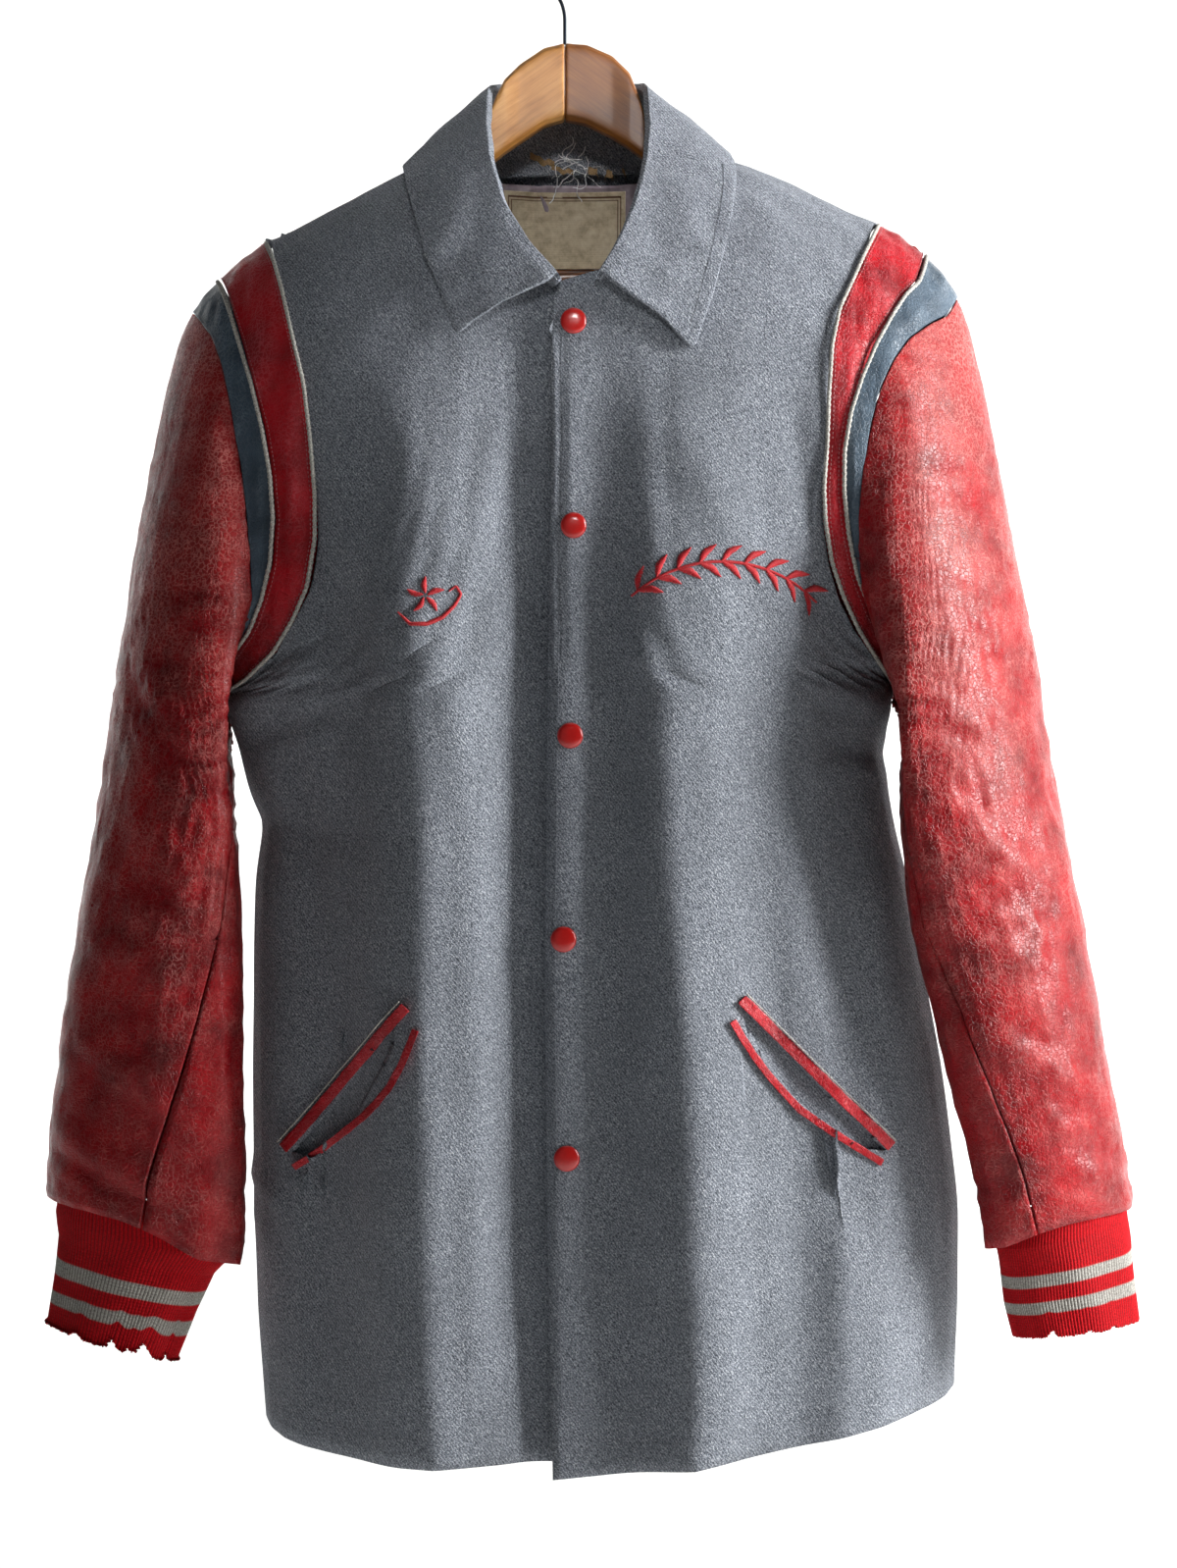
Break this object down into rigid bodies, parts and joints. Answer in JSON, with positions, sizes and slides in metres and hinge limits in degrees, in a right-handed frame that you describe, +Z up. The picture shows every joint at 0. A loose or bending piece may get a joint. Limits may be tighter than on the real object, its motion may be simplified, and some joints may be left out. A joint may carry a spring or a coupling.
{
  "type": "varsity jacket on a wooden hanger",
  "caption": "Grey wool varsity jacket with red leather sleeves, corded armhole bands, rib cuffs and slanted pockets, hung on a wooden hanger with a wire hook.",
  "frame": {"origin": "inside top of the hanger's hook, where it rests on the rail", "axes": "+Z up, +X to the viewer's right, which is the jacket's left side as worn, -Y out of the jacket's front"},
  "size_m": [0.6799, 0.2316, 0.963],
  "materials": {
    "wool": "matt grey speckled wool melton",
    "red_leather": "worn, satin, creased",
    "blue_leather": "satin, creased",
    "pale_cord": "twisted cord",
    "rib_knit": "rib knit",
    "snap_enamel": "glossy enamel",
    "satin": "satin weave",
    "label_cloth": "woven, matt",
    "hanger_wood": "varnished",
    "dark_wood": "varnished",
    "hook_wire": "dark wire"
  },
  "bodies": {
    "root": {"front_left": "wool", "front_right": "wool", "back": "wool", "collar": "wool", "band_red_left": "red_leather", "band_blue_left": "blue_leather", "piping_body_left": "pale_cord", "piping_band_left": "pale_cord", "sleeve_top_left": "red_leather", "sleeve_under_left": "red_leather", "cuff_left": "rib_knit", "pocket_welt_left": "red_leather", "pocket_lip_left": "red_leather", "pocket_cord_left": "pale_cord", "pocket_facing_left": "wool", "band_red_right": "red_leather", "band_blue_right": "blue_leather", "piping_body_right": "pale_cord", "piping_band_right": "pale_cord", "sleeve_top_right": "red_leather", "sleeve_under_right": "red_leather", "cuff_right": "rib_knit", "pocket_welt_right": "red_leather", "pocket_lip_right": "red_leather", "pocket_cord_right": "pale_cord", "pocket_facing_right": "wool", "snap_1": "snap_enamel", "snap_2": "snap_enamel", "snap_3": "snap_enamel", "snap_4": "snap_enamel", "snap_5": "snap_enamel", "neck_lining": "satin", "neck_label": "label_cloth", "hanger_arm_left": "hanger_wood", "hanger_arm_right": "hanger_wood", "hanger_bar": "dark_wood", "hanger_hook": "hook_wire"}
  },
  "joints": []
}
